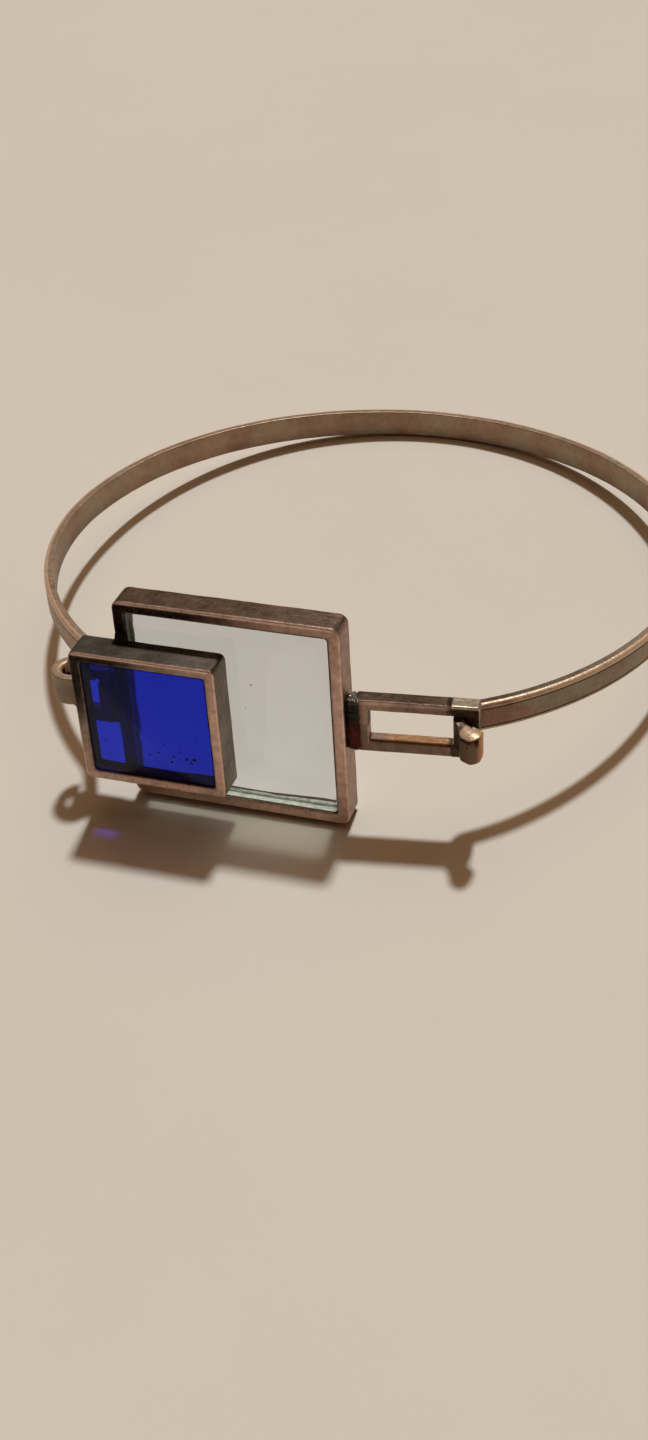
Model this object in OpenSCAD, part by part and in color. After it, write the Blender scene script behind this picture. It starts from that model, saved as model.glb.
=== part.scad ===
// Bangle bracelet: a springy strip hinged to a centrepiece of two set frames, with a hook clasp.
// Millimetres. Every sub-part is drawn on the centrepiece's own axes: the origin is the middle of
// the large frame's front face, +X is right, +Y is towards the wrist and +Z is up the frame.
// rest_pose() then lays the whole bracelet on a table, with the origin under its middle.

/* [Large frame] */
// Outside width and height of the large frame
large_w = 20; // [18:0.5:22]
// Depth of its strip, front to back
large_depth = 2.6; // [2.4:0.1:3]
// Thickness of its strip
large_wall = 1.05; // [0.9:0.05:1.2]
// Outside radius of its bent corners
large_corner_r = 0.8; // [0.5:0.1:1]
// Thickness of the clear pane
large_pane_t = 1.2; // [1:0.1:1.5]
// Height of the cement bead behind the clear pane
cement_h = 0.35; // [0.2:0.05:0.5]
// How far the front of each pane sits behind its frame's front
pane_setback = 0.15; // [0.1:0.05:0.3]

/* [Small frame] */
// Outside width and height of the small frame
small_w = 13.1; // [12:0.1:13.5]
// Depth of its strip, front to back
small_depth = 2.9; // [2.6:0.1:3.2]
// Thickness of its strip
small_wall = 0.92; // [0.8:0.02:1.1]
// Outside radius of its corners
small_corner_r = 0.5; // [0.3:0.1:0.8]
// Sideways place of its middle
small_x = -6.6; // [-7:0.1:-6]
// Height of its middle
small_z = -0.25; // [-1:0.05:1]
// Leg of the solder fillets where the two frames cross
fillet = 0.4; // [0.2:0.05:0.6]

/* [Link and staple] */
// Thickness of the flat wire, seen from the front
wire_t = 1.02; // [0.9:0.02:1.1]
// Depth of the flat wire, front to back
wire_d = 1.4; // [1.2:0.05:1.5]
// Outside height of the link and the staple
loop_h = 5.15; // [4.9:0.05:5.4]
// Height of their middle
loop_z = 0.39; // [0.2:0.01:0.6]
// Length of the link
link_len = 10.3; // [9.5:0.1:11]
// Length of the link's soldered end piece
link_end_len = 2.4; // [2:0.1:3]
// Angle by which the link turns back towards the wrist
link_yaw = 7; // [5:0.5:8]
// Thickness of the solder between a loop and the large frame
solder_t = 0.75; // [0.5:0.05:0.9]
// Outside radius of the staple's bent corners
staple_corner_r = 1; // [0.4:0.1:1.4]
// Sideways place of the staple's outer bar, which is the hinge's pin
pin_x = -15.12; // [-15.2:0.02:-15.1]

/* [Band] */
// Width of the strip
band_w = 2.7; // [2.4:0.1:2.8]
// Thickness of the strip
band_t = 0.95; // [0.85:0.05:0.95]
// Half of the oval's width, along the middle of the strip
band_a = 30.6; // [30:0.1:31]
// Half of the oval's depth, along the middle of the strip
band_b = 28.7; // [28:0.1:29]
// Sideways place of the oval's centre
band_x = 3.25; // [3:0.05:3.5]
// Distance of the oval's centre behind the large frame's front
band_y = 28.07; // [27.5:0.01:28.5]
// Height of the strip's middle
band_z = 0.36; // [0.3:0.02:0.4]

/* [Hinge eye] */
// Sideways place of the eye's axis
eye_x = -15.2; // [-15.25:0.05:-15.15]
// Distance of the eye's axis behind the large frame's front
eye_y = 1.3; // [1.25:0.01:1.35]
// Outside radius of the rolled eye
eye_r = 1.9; // [1.88:0.01:1.95]
// Angle at which the rolled end stops
eye_end_angle = 105; // [95:5:120]

/* [Hidden] */
$fn = 48;

// Where the strip leaves the oval towards the eye and towards the hook, as angles on the oval.
leave_left = 230;
leave_right = -46;
// Bends from there on, each [length, turn to the left in degrees].
eye_start = [1.7, -26];
hook_bends = [[5.65, -13], [1.3, 61], [0.95, 0], [1.2, 64], [1.5, 0]];
back_angle = 90;
arc_step = 3;
bend_points = 8;
// The straight stretch's inner side ends this far before it would graze the eye's bore.
bore_run_in = 0.3;

front_y = -small_depth;

// The bracelet lies on the large frame's lower back edge and the lower back edge of the strip.
rest_y = band_y + band_b + band_t / 2;
lean = atan((band_z - band_w / 2 + large_w / 2) / (rest_y - large_depth));
floor_z = -large_depth * sin(lean) - large_w / 2 * cos(lean);
nearest_y = -small_depth * cos(lean) + (small_z - small_w / 2) * sin(lean);
farthest_y = rest_y * cos(lean) + (band_z + band_w / 2) * sin(lean);

// A place on a path is [x, y, heading].
function oval_at(a) =
    [band_x + band_a * cos(a), band_y + band_b * sin(a), atan2(band_b * cos(a), -band_a * sin(a))];
function bend_at(p, bend, f) =
    let (length = bend[0] * f, turn = bend[1] * f, h = p[2], r = bend[1] == 0 ? 0 : bend[0] / bend[1] * 180 / PI)
    bend[1] == 0
        ? [p.x + length * cos(h), p.y + length * sin(h), h]
        : [p.x + r * (sin(h + turn) - sin(h)), p.y + r * (cos(h) - cos(h + turn)), h + turn];
function bends_from(p, bends, k = 0) =
    k == len(bends) ? [] : concat([for (i = [1:bend_points]) bend_at(p, bends[k], i / bend_points)],
                                  bends_from(bend_at(p, bends[k], 1), bends, k + 1));
function oval_run(from, to) =
    let (n = ceil(abs(to - from) / arc_step)) [for (i = [0:n]) oval_at(from + (to - from) * i / n)];
function turned(p) = [p.x, p.y, p[2] + 180];
function edge_of(path, side) = [for (p = path) [p.x - side * sin(p[2]), p.y + side * cos(p[2])]];
function reversed(list) = [for (i = [len(list) - 1:-1:0]) list[i]];

// The eye's strip: its middle runs round the axis, and a straight stretch joins it to the oval.
eye_mid_r = eye_r - band_t / 2;
eye_bend_end = bend_at(oval_at(leave_left), eye_start, 1);
eye_join_angle = eye_bend_end[2] + 90;
eye_join = [eye_x + eye_mid_r * cos(eye_join_angle), eye_y + eye_mid_r * sin(eye_join_angle), eye_bend_end[2]];
arm_path = concat(oval_run(back_angle, leave_left), bends_from(oval_at(leave_left), [eye_start]));
arm_inner_end = bend_at(eye_join, [-bore_run_in, 0], 1);
eye_wrap = eye_join_angle + 360 - eye_end_angle;
eye_steps = ceil(eye_wrap / (2 * arc_step));
eye_outside = [for (i = [0:eye_steps]) let (a = eye_join_angle - eye_wrap * i / eye_steps)
    [eye_x + eye_r * cos(a), eye_y + eye_r * sin(a)]];

hook_path = bends_from(turned(oval_at(leave_right)), hook_bends);
right_path = concat([for (p = oval_run(back_angle, leave_right)) turned(p)], hook_path);
hook_end = hook_path[len(hook_path) - 1];
hook_cap = [for (a = [75:-15:-75])
    [hook_end.x + band_t / 2 * cos(hook_end[2] + a), hook_end.y + band_t / 2 * sin(hook_end[2] + a)]];

module rest_pose() {
    translate([-band_x, -(nearest_y + farthest_y) / 2, -floor_z]) rotate([-lean, 0, 0]) children();
}

module rounded_square(w, r) {
    square([w, w - 2 * r], center = true);
    square([w - 2 * r, w], center = true);
    for (x = [-1, 1], z = [-1, 1]) translate([x * (w / 2 - r), z * (w / 2 - r)]) circle(r);
}

// Draws a front view outline and gives it a depth from y to y + depth.
module upright(y, depth) {
    translate([0, y + depth, 0]) rotate([90, 0, 0]) linear_extrude(depth) children();
}

module square_ring(w, r, wall) {
    difference() {
        rounded_square(w, r);
        rounded_square(w - 2 * wall, max(r - wall, 0.3));
    }
}

module filling(w, r, wall) {
    rounded_square(w - 2 * wall, max(r - wall, 0.3));
}

module large_frame() {
    color("rosybrown") rest_pose() upright(0, large_depth) square_ring(large_w, large_corner_r, large_wall);
}

module large_pane() {
    color([0.78, 0.82, 0.82, 0.4]) rest_pose()
        upright(pane_setback, large_pane_t) filling(large_w, large_corner_r, large_wall);
}

module pane_cement() {
    color("darkolivegreen") rest_pose() upright(pane_setback + large_pane_t, cement_h) difference() {
        filling(large_w, large_corner_r, large_wall);
        filling(large_w - 2 * cement_h, large_corner_r, large_wall);
    }
}

module small_frame() {
    color("tan") rest_pose() translate([small_x, 0, small_z])
        upright(front_y, small_depth) square_ring(small_w, small_corner_r, small_wall);
}

module small_pane() {
    color([0.12, 0.14, 0.62, 0.7]) rest_pose() translate([small_x, 0, small_z])
        upright(front_y + pane_setback, small_depth - 2 * pane_setback)
            filling(small_w, small_corner_r, small_wall);
}

// One fillet outside each place where the small frame's top and bottom cross the large frame's side.
module crossing_solder() {
    color("dimgray") rest_pose() translate([-large_w / 2, 0, small_z]) for (side = [0, 1])
        mirror([0, 0, side]) translate([0, 0, small_w / 2]) rotate([90, 0, 90])
            linear_extrude(large_wall) polygon([[0, 0], [-fillet, 0], [0, fillet]]);
}

// Loop outline: root at x = 0, along +X, slot inside.
module loop_outline(length) {
    difference() {
        translate([0, -loop_h / 2]) square([length, loop_h]);
        translate([wire_t, wire_t - loop_h / 2]) square([length - 2 * wire_t, loop_h - 2 * wire_t]);
    }
}

module at_link() {
    translate([large_w / 2 + solder_t, large_depth / 2, loop_z]) rotate([0, 0, link_yaw]) children();
}

module link() {
    color("saddlebrown") rest_pose() at_link() upright(-wire_d / 2, wire_d) intersection() {
        loop_outline(link_len);
        translate([0, -loop_h / 2]) square([link_len - link_end_len, loop_h]);
    }
}

module link_end() {
    color("burlywood") rest_pose() at_link() upright(-wire_d / 2, wire_d) intersection() {
        loop_outline(link_len);
        translate([link_len - link_end_len, -loop_h / 2]) square([link_end_len, loop_h]);
    }
}

// A solder block fills the gap between the large frame's side and a loop's root.
module solder_block() {
    translate([0, -wire_d / 2, -loop_h / 2]) cube([solder_t, wire_d, loop_h]);
}

module link_solder() {
    color("darkslategray") rest_pose() difference() {
        translate([large_w / 2, large_depth / 2, loop_z]) solder_block();
        at_link() translate([0, -large_depth, -loop_h]) cube([link_len, 2 * large_depth, 2 * loop_h]);
    }
}

// Closed loop of flat wire with bent corners at its outer end.
module staple() {
    staple_len = -large_w / 2 - solder_t - (pin_x - wire_t / 2);
    color("sienna") rest_pose() translate([-large_w / 2 - solder_t, 0, loop_z])
        upright((large_depth - wire_d) / 2, wire_d) mirror([1, 0]) intersection() {
            loop_outline(staple_len);
            union() {
                translate([0, -loop_h / 2]) square([staple_len - staple_corner_r, loop_h]);
                translate([0, staple_corner_r - loop_h / 2]) square([staple_len, loop_h - 2 * staple_corner_r]);
                for (side = [-1, 1])
                    translate([staple_len - staple_corner_r, side * (loop_h / 2 - staple_corner_r)])
                        circle(staple_corner_r);
            }
        }
}

module staple_solder() {
    color("darkslategray") rest_pose()
        translate([-large_w / 2 - solder_t, large_depth / 2, loop_z]) solder_block();
}

module across_band() {
    translate([0, 0, band_z - band_w / 2]) linear_extrude(band_w) children();
}

module band_left() {
    color("gray") rest_pose() across_band() difference() {
        polygon(concat(edge_of(arm_path, band_t / 2), eye_outside, [[eye_x, eye_y]],
                       reversed(edge_of(concat(arm_path, [arm_inner_end]), -band_t / 2))));
        translate([eye_x, eye_y]) circle(eye_r - band_t);
    }
}

module band_right() {
    color("dimgray") rest_pose() across_band()
        polygon(concat(edge_of(right_path, band_t / 2), hook_cap, reversed(edge_of(right_path, -band_t / 2))));
}

large_frame();
large_pane();
pane_cement();
small_frame();
small_pane();
crossing_solder();
link();
link_end();
link_solder();
staple();
staple_solder();
band_left();
band_right();
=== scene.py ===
"""Looks of a hinged bangle bracelet: a springy silver strip, two frames set with glass, a link and a hook.

Shapes are drawn in millimetres on the centrepiece's own axes: the origin is the middle of the large
frame's front face, +X is right, +Y is towards the wrist and +Z is up the frame. RestPose turns them
into the row frame, in metres, as the bracelet lies on its table.
"""

import logging
import math
from dataclasses import dataclass
from enum import Enum
from typing import Callable, Iterable, Sequence

import bmesh
import bpy
from mathutils import Matrix, Vector, noise


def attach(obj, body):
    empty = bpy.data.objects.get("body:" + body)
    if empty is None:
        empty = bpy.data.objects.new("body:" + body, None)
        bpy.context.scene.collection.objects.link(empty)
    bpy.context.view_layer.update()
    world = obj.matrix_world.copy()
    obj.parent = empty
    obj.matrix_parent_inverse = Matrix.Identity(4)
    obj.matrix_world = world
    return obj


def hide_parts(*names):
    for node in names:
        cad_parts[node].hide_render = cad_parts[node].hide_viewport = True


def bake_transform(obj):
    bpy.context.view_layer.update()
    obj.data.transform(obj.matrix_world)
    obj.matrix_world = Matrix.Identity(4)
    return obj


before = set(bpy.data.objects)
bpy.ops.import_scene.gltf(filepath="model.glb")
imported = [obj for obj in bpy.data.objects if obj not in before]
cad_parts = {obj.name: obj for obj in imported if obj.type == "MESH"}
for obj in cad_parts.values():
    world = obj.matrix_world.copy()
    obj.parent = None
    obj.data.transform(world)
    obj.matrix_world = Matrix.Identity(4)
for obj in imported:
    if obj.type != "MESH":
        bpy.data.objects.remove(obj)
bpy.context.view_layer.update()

LOG = logging.getLogger("bangle")
Point2 = tuple[float, float]
Point3 = tuple[float, float, float]
Colour = tuple[float, float, float, float]
MM = 0.001
# The paint layers. The wear layer also carries painted highlights and reflections, the grime layer also
# carries painted shade, and the warm layer also carries a painted sunlit glow.
PAINTS = ("edge", "worn", "grime", "warm")
NUMBER, VECTOR, GEOMETRY = "NodeSocketFloat", "NodeSocketVector", "NodeSocketGeometry"
OBJECT, INTEGER, MATERIAL = "NodeSocketObject", "NodeSocketInt", "NodeSocketMaterial"


def srgb(red: int, green: int, blue: int) -> Colour:
    """Returns a linear colour from 0-255 sRGB values."""
    def linear(value: int) -> float:
        """Returns one channel's linear value."""
        share = value / 255
        return share / 12.92 if share <= 0.04045 else ((share + 0.055) / 1.055) ** 2.4

    return (linear(red), linear(green), linear(blue), 1.0)


def smooth(low: float, high: float, value: float) -> float:
    """Returns a smooth step from 0 at low to 1 at high."""
    share = min(1.0, max(0.0, (value - low) / (high - low)))
    return share * share * (3 - 2 * share)


# ---------------------------------------------------------------- sizes and the rest pose


@dataclass(frozen=True)
class Sizes:
    """Sizes of the bracelet in millimetres, as its solids have them."""

    large_w: float = 20.0
    large_depth: float = 2.6
    large_wall: float = 1.05
    large_corner_r: float = 0.8
    large_pane_t: float = 1.2
    cement_h: float = 0.35
    pane_setback: float = 0.15
    small_w: float = 13.1
    small_depth: float = 2.9
    small_wall: float = 0.92
    small_corner_r: float = 0.5
    small_x: float = -6.6
    small_z: float = -0.25
    fillet: float = 0.4
    wire_t: float = 1.02
    wire_d: float = 1.4
    loop_h: float = 5.15
    loop_z: float = 0.39
    link_len: float = 10.3
    link_end_len: float = 2.4
    link_yaw: float = 7.0
    solder_t: float = 0.75
    staple_corner_r: float = 1.0
    pin_x: float = -15.12
    band_w: float = 2.7
    band_t: float = 0.95
    band_a: float = 30.6
    band_b: float = 28.7
    band_x: float = 3.25
    band_y: float = 28.07
    band_z: float = 0.36
    eye_x: float = -15.2
    eye_y: float = 1.3
    eye_r: float = 1.9
    eye_end_angle: float = 105.0
    inner_corner_r: float = 0.3


SIZES = Sizes()


class RestPose:
    """The way the bracelet lies on its table, on the large frame's and the strip's lower back edges."""

    def __init__(self, sizes: Sizes) -> None:
        """Works out the lean and the place of the origin from the sizes."""
        rest_y = sizes.band_y + sizes.band_b + sizes.band_t / 2
        drop = sizes.band_z - sizes.band_w / 2 + sizes.large_w / 2
        self.lean = math.atan(drop / (rest_y - sizes.large_depth))
        sin, cos = math.sin(self.lean), math.cos(self.lean)
        floor_z = -sizes.large_depth * sin - sizes.large_w / 2 * cos
        nearest = -sizes.small_depth * cos + (sizes.small_z - sizes.small_w / 2) * sin
        farthest = rest_y * cos + (sizes.band_z + sizes.band_w / 2) * sin
        shift = Vector((-sizes.band_x, -(nearest + farthest) / 2, -floor_z))
        self.turn = Matrix.Rotation(-self.lean, 4, "X")
        self.matrix = Matrix.Scale(MM, 4) @ Matrix.Translation(shift) @ self.turn

    def place(self, point: Sequence[float]) -> Vector:
        """Returns a point of the centrepiece's axes in the row frame."""
        return self.matrix @ Vector(point)


REST = RestPose(SIZES)


class Body(Enum):
    """The bodies that a piece can ride on."""

    CENTREPIECE = "centrepiece"
    LEFT = "strip_left"
    RIGHT = "strip_right"


class Side(Enum):
    """The faces of a bent flat wire."""

    OUTER = "outer"
    FRONT = "front"
    INNER = "inner"
    BACK = "back"


@dataclass
class Paint:
    """What a point of a metal surface shows, each from 0 to 1: wear, grime and warm tint, and also painted
    highlights, reflections, shade and sunlit glow.
    """

    edge: float = 0.0
    worn: float = 0.0
    grime: float = 0.0
    warm: float = 0.0


@dataclass(frozen=True)
class SkinPoint:
    """A point of a wire's cross-section: u from the inner to the outer side, v from front to back."""

    u: float
    v: float
    side: Side
    edge: float


Painter = Callable[[Side, Vector], Paint]


# ---------------------------------------------------------------- meshes


def wire_section(wall: float, depth: float, radius: float) -> list[SkinPoint]:
    """Makes the cross-section of a flat wire with rounded edges.

    Args:
        wall: Thickness from the inner to the outer side.
        depth: Depth from front to back.
        radius: Radius of the rounded edges.

    Returns:
        The points round the section.
    """
    arc_steps, support = 4, 0.05
    corners = [
        ((wall - radius, radius), -90, Side.FRONT, Side.OUTER),
        ((wall - radius, depth - radius), 0, Side.OUTER, Side.BACK),
        ((radius, depth - radius), 90, Side.BACK, Side.INNER),
        ((radius, radius), 180, Side.INNER, Side.FRONT),
    ]

    def on_arc(centre: Point2, degrees: float) -> Point2:
        """Returns the point of a rounded edge at an angle."""
        angle = math.radians(degrees)
        return centre[0] + radius * math.cos(angle), centre[1] + radius * math.sin(angle)

    points: list[SkinPoint] = []
    for (centre, start, before, after), (following, *_) in zip(corners, corners[1:] + corners[:1]):
        for step in range(arc_steps + 1):
            side = before if step <= arc_steps / 2 else after
            edge = 1 - abs(step / arc_steps - 0.5) * 2
            points.append(SkinPoint(*on_arc(centre, start + 90 * step / arc_steps), side, edge))
        last, goal = points[-1], on_arc(following, start + 90)
        span = math.dist((last.u, last.v), goal)
        for share in (support / span, 0.27, 0.5, 0.73, 1 - support / span):
            u = last.u + (goal[0] - last.u) * share
            v = last.v + (goal[1] - last.v) * share
            points.append(SkinPoint(u, v, after, 0))
    return points


def bent_line(corners: Sequence[Point3], closed: bool, steps: int) -> list[Point2]:
    """Makes a line of straight runs with rounded right-angled corners.

    Args:
        corners: Each corner as (x, z, radius); an open line's two ends have radius 0.
        closed: Whether the line comes back to its start.
        steps: Steps along each straight run.

    Returns:
        Its points; two lines with as many corners have as many points.
    """
    arc_steps, count = 6, len(corners)
    runs: list[Point2] = []
    turns = range(count) if closed else range(1, count - 1)
    if not closed:
        runs.append(corners[0][:2])
    marks: list[list[Point2]] = []
    for k in turns:
        here = Vector(corners[k][:2])
        back = (Vector(corners[k - 1][:2]) - here).normalized()
        ahead = (Vector(corners[(k + 1) % count][:2]) - here).normalized()
        radius = corners[k][2]
        centre = here + radius * (back + ahead)
        arc = []
        for step in range(arc_steps + 1):
            angle = math.pi / 2 * step / arc_steps
            spot = centre - radius * (ahead * math.cos(angle) + back * math.sin(angle))
            arc.append((spot.x, spot.y))
        marks.append(arc)

    def run_to(goal: Point2) -> None:
        """Adds the points between the line's last point and the goal."""
        start = Vector(runs[-1])
        runs.extend(tuple(start.lerp(Vector(goal), s / steps)) for s in range(1, steps))

    for index, arc in enumerate(marks):
        if not closed or index:
            run_to(arc[0])
        runs += arc
    run_to(marks[0][0] if closed else corners[-1][:2])
    if not closed:
        runs.append(corners[-1][:2])
    return runs


def mesh_object(
    name: str, bm: bmesh.types.BMesh, matrix: Matrix = Matrix.Identity(4)
) -> bpy.types.Object:
    """Turns a bmesh in millimetres into a smooth mesh object in the row frame, and frees the bmesh."""
    bmesh.ops.recalc_face_normals(bm, faces=bm.faces)
    mesh = bpy.data.meshes.new(name)
    bm.to_mesh(mesh)
    bm.free()
    mesh.transform(REST.matrix @ matrix)
    mesh.shade_smooth()
    made = bpy.data.objects.new(name, mesh)
    bpy.context.scene.collection.objects.link(made)
    return made


def paint_layers(bm: bmesh.types.BMesh) -> dict[str, bmesh.types.BMLayerItem]:
    """Adds the four paint layers to a bmesh and returns them by name."""
    return {name: bm.verts.layers.float.new(name) for name in PAINTS}


def apply_paint(vert: bmesh.types.BMVert, layers: dict, paint: Paint) -> None:
    """Stores one point's paint."""
    for name, layer in layers.items():
        vert[layer] = getattr(paint, name)


def roughen(bm: bmesh.types.BMesh, amount: float, size: float, seed: float) -> None:
    """Moves the points of a bmesh along their normals by soft noise.

    Args:
        bm: The bmesh, in millimetres.
        amount: Greatest movement.
        size: Size of the bumps.
        seed: Place in the noise, so that pieces differ.
    """
    bm.normal_update()
    place = Vector((seed, seed * 1.7, -seed))
    moves = [v.normal * amount * noise.noise(v.co / size + place) for v in bm.verts]
    for vert, move in zip(bm.verts, moves):
        vert.co += move


def loft(
    bm: bmesh.types.BMesh, rings: list[list[bmesh.types.BMVert]], closed: bool = False
) -> list[bmesh.types.BMFace]:
    """Joins rings of points with faces, and closes both ends unless the rings form a loop.

    Returns:
        The faces between the rings, ring by ring.
    """
    size = len(rings[0])
    faces = [
        bm.faces.new((here[i], here[(i + 1) % size], following[(i + 1) % size], following[i]))
        for here, following in zip(rings, rings[1:] + rings[:1] if closed else rings[1:])
        for i in range(size)
    ]
    if not closed:
        bm.faces.new(rings[0])
        bm.faces.new(list(reversed(rings[-1])))
    return faces


def bend_wire(
    name: str,
    lines: tuple[list[Point2], list[Point2]],
    section: list[SkinPoint],
    front: float,
    closed: bool,
    painter: Painter,
    matrix: Matrix = Matrix.Identity(4),
    wobble: float = 0.03,
) -> bpy.types.Object:
    """Bends a flat wire along its inner and outer lines.

    Args:
        name: Name of the piece.
        lines: The inner and the outer line, as (x, z) points that match one to one.
        section: The wire's cross-section.
        front: y of its front face.
        closed: Whether it is a closed loop.
        painter: Gives each point its paint.
        matrix: Turns the wire's axes into the centrepiece's.
        wobble: Depth of the hand-made unevenness.

    Returns:
        The finished mesh object.
    """
    bm = bmesh.new()
    layers = paint_layers(bm)
    wall = max(p.u for p in section)
    rings = []
    for inner, outer in zip(*lines):
        ring = []
        for point in section:
            share = point.u / wall
            x, z = (inner[i] + (outer[i] - inner[i]) * share for i in (0, 1))
            vert = bm.verts.new((x, front + point.v, z))
            paint = painter(point.side, vert.co)
            paint.edge = max(paint.edge, point.edge)
            apply_paint(vert, layers, paint)
            ring.append(vert)
        rings.append(ring)
    loft(bm, rings, closed)
    roughen(bm, wobble, 2.4, len(name))
    roughen(bm, wobble * 0.5, 0.7, len(name) * 2.3)
    return mesh_object(name, bm, matrix)


def slab(name: str, line: list[Point2], front: float, back: float, radius: float) -> bpy.types.Object:
    """Makes a flat pane with softened edges; its sides, where it is bedded, take the second material.

    Args:
        name: Name of the piece.
        line: Its outline as (x, z) points.
        front: y of its front face.
        back: y of its back face.
        radius: Radius of the softened edges.

    Returns:
        The finished mesh object.
    """
    bm = bmesh.new()
    middle = Vector((sum(p[0] for p in line), sum(p[1] for p in line))) / len(line)
    half = max(abs(p[0] - middle.x) for p in line)
    arc = [math.radians(a) for a in (0, 30, 60, 90)]
    rows = [(radius * (1 - math.sin(a)), front + radius * (1 - math.cos(a))) for a in arc]
    rows += [(radius * (1 - math.cos(a)), back - radius * (1 - math.sin(a))) for a in arc]
    rings = []
    for inset, y in rows:
        kept = 1 - inset / half
        spots = [(middle.x + (x - middle.x) * kept, middle.y + (z - middle.y) * kept) for x, z in line]
        rings.append([bm.verts.new((x, y, z)) for x, z in spots])
    first_bedded = 2 * len(line)
    for index, face in enumerate(loft(bm, rings)):
        face.material_index = int(index >= first_bedded)
    return mesh_object(name, bm)


def lump(
    name: str, low: Sequence[float], high: Sequence[float], bulge: float, painter: Painter, seed: float
) -> bpy.types.Object:
    """Makes an uneven block of solder between two corners.

    Args:
        name: Name of the piece.
        low: Its lowest corner.
        high: Its highest corner.
        bulge: How far it swells and its surface rises and falls.
        painter: Gives each point its paint.
        seed: Place in the noise.

    Returns:
        The finished mesh object.
    """
    squareness = 7
    bm = bmesh.new()
    bmesh.ops.create_cube(bm, size=2)
    bmesh.ops.subdivide_edges(bm, edges=bm.edges, cuts=15, use_grid_fill=True)
    layers = paint_layers(bm)
    low, high = Vector(low), Vector(high)
    middle, half = (low + high) / 2, (high - low) / 2
    for vert in bm.verts:
        unit = vert.co.copy()
        unit /= sum(abs(value) ** squareness for value in unit) ** (1 / squareness)
        spot = middle + Vector(unit[i] * half[i] for i in range(3))
        swell = (1 - unit.x**2) * bulge
        spot.y += math.copysign(swell, unit.y) * abs(unit.y) ** 3
        vert.co = spot
        apply_paint(vert, layers, painter(Side.OUTER, spot))
    roughen(bm, bulge, 0.5, seed)
    roughen(bm, bulge * 0.6, 0.22, seed + 4)
    return mesh_object(name, bm)


# ---------------------------------------------------------------- node helpers


class Wiring:
    """Adds nodes to a tree and joins their sockets."""

    def __init__(self, tree: bpy.types.NodeTree) -> None:
        """Keeps the tree."""
        self.tree = tree

    def feed(self, socket: bpy.types.NodeSocket, value: object) -> None:
        """Links a socket to another one, or sets its value."""
        if isinstance(value, bpy.types.NodeSocket):
            self.tree.links.new(value, socket)
        else:
            socket.default_value = value

    def add(self, kind: str, feeds: dict | None = None, **settings: object) -> bpy.types.Node:
        """Adds a node.

        Args:
            kind: Its Blender type.
            feeds: Its inputs by name or number, each a socket to link or a value to set.
            settings: Its own properties.

        Returns:
            The new node.
        """
        node = self.tree.nodes.new(kind)
        for name, value in settings.items():
            setattr(node, name, value)
        for key, value in (feeds or {}).items():
            self.feed(node.inputs[key], value)
        return node

    def math(self, operation: str, *values: object) -> bpy.types.NodeSocket:
        """Adds a clamped Math node over sockets or numbers and returns its result."""
        node = self.add("ShaderNodeMath", dict(enumerate(values)), operation=operation, use_clamp=True)
        return node.outputs[0]

    def blend(self, share: object, first: object, second: object) -> bpy.types.NodeSocket:
        """Adds a colour mix and returns its result."""
        return self.add("ShaderNodeMix", {0: share, 6: first, 7: second}, data_type="RGBA").outputs[2]

    def between(self, share: object, first: float, second: float) -> bpy.types.NodeSocket:
        """Maps a share from 0-1 to first-second and returns the result."""
        return self.add("ShaderNodeMapRange", {0: share, 3: first, 4: second}).outputs[0]

    def ramp(self, value: object, low: object, high: object, **settings: object) -> bpy.types.NodeSocket:
        """Maps a value from low-high to 0-1 and returns the result."""
        return self.add("ShaderNodeMapRange", {0: value, 1: low, 2: high}, **settings).outputs[0]

    def cloud(self, vector: object, scale: object, detail: float, rough: float = 0.5) -> bpy.types.NodeSocket:
        """Adds a Noise Texture and returns its grey value."""
        feeds = {"Vector": vector, "Scale": scale, "Detail": detail, "Roughness": rough}
        return self.add("ShaderNodeTexNoise", feeds).outputs["Fac"]

    def bump(self, height: object, distance: float) -> bpy.types.NodeSocket:
        """Adds a Bump node for a distance in millimetres and returns its normal."""
        feeds = {"Height": height, "Distance": distance * MM, "Strength": 1.0}
        return self.add("ShaderNodeBump", feeds).outputs[0]

    def group(self, tree: bpy.types.NodeTree, **feeds: object) -> bpy.types.NodeSocket:
        """Adds a shader group with its inputs by name and returns its first output."""
        return self.add("ShaderNodeGroup", feeds, node_tree=tree).outputs[0]

    def finish(self, output: bpy.types.Node, value: bpy.types.NodeSocket) -> bpy.types.NodeTree:
        """Links the last result to the output's first socket and returns the tree."""
        self.tree.links.new(value, output.inputs[0])
        return self.tree


def new_group(
    name: str, kind: str, inputs: Iterable[tuple], output: tuple[str, str]
) -> tuple[Wiring, bpy.types.NodeOutputs, bpy.types.Node]:
    """Starts a node group.

    Args:
        name: Its name.
        kind: Its Blender tree type.
        inputs: Each (name, socket type) or (name, socket type, default).
        output: Its one output, as (name, socket type).

    Returns:
        The wiring, the sockets of the group's inputs and its output node.
    """
    tree = bpy.data.node_groups.new(name, kind)
    for label, socket_type, *default in inputs:
        socket = tree.interface.new_socket(label, in_out="INPUT", socket_type=socket_type)
        if default:
            socket.default_value = default[0]
    tree.interface.new_socket(output[0], in_out="OUTPUT", socket_type=output[1])
    wiring = Wiring(tree)
    return wiring, wiring.add("NodeGroupInput").outputs, wiring.add("NodeGroupOutput")


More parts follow.
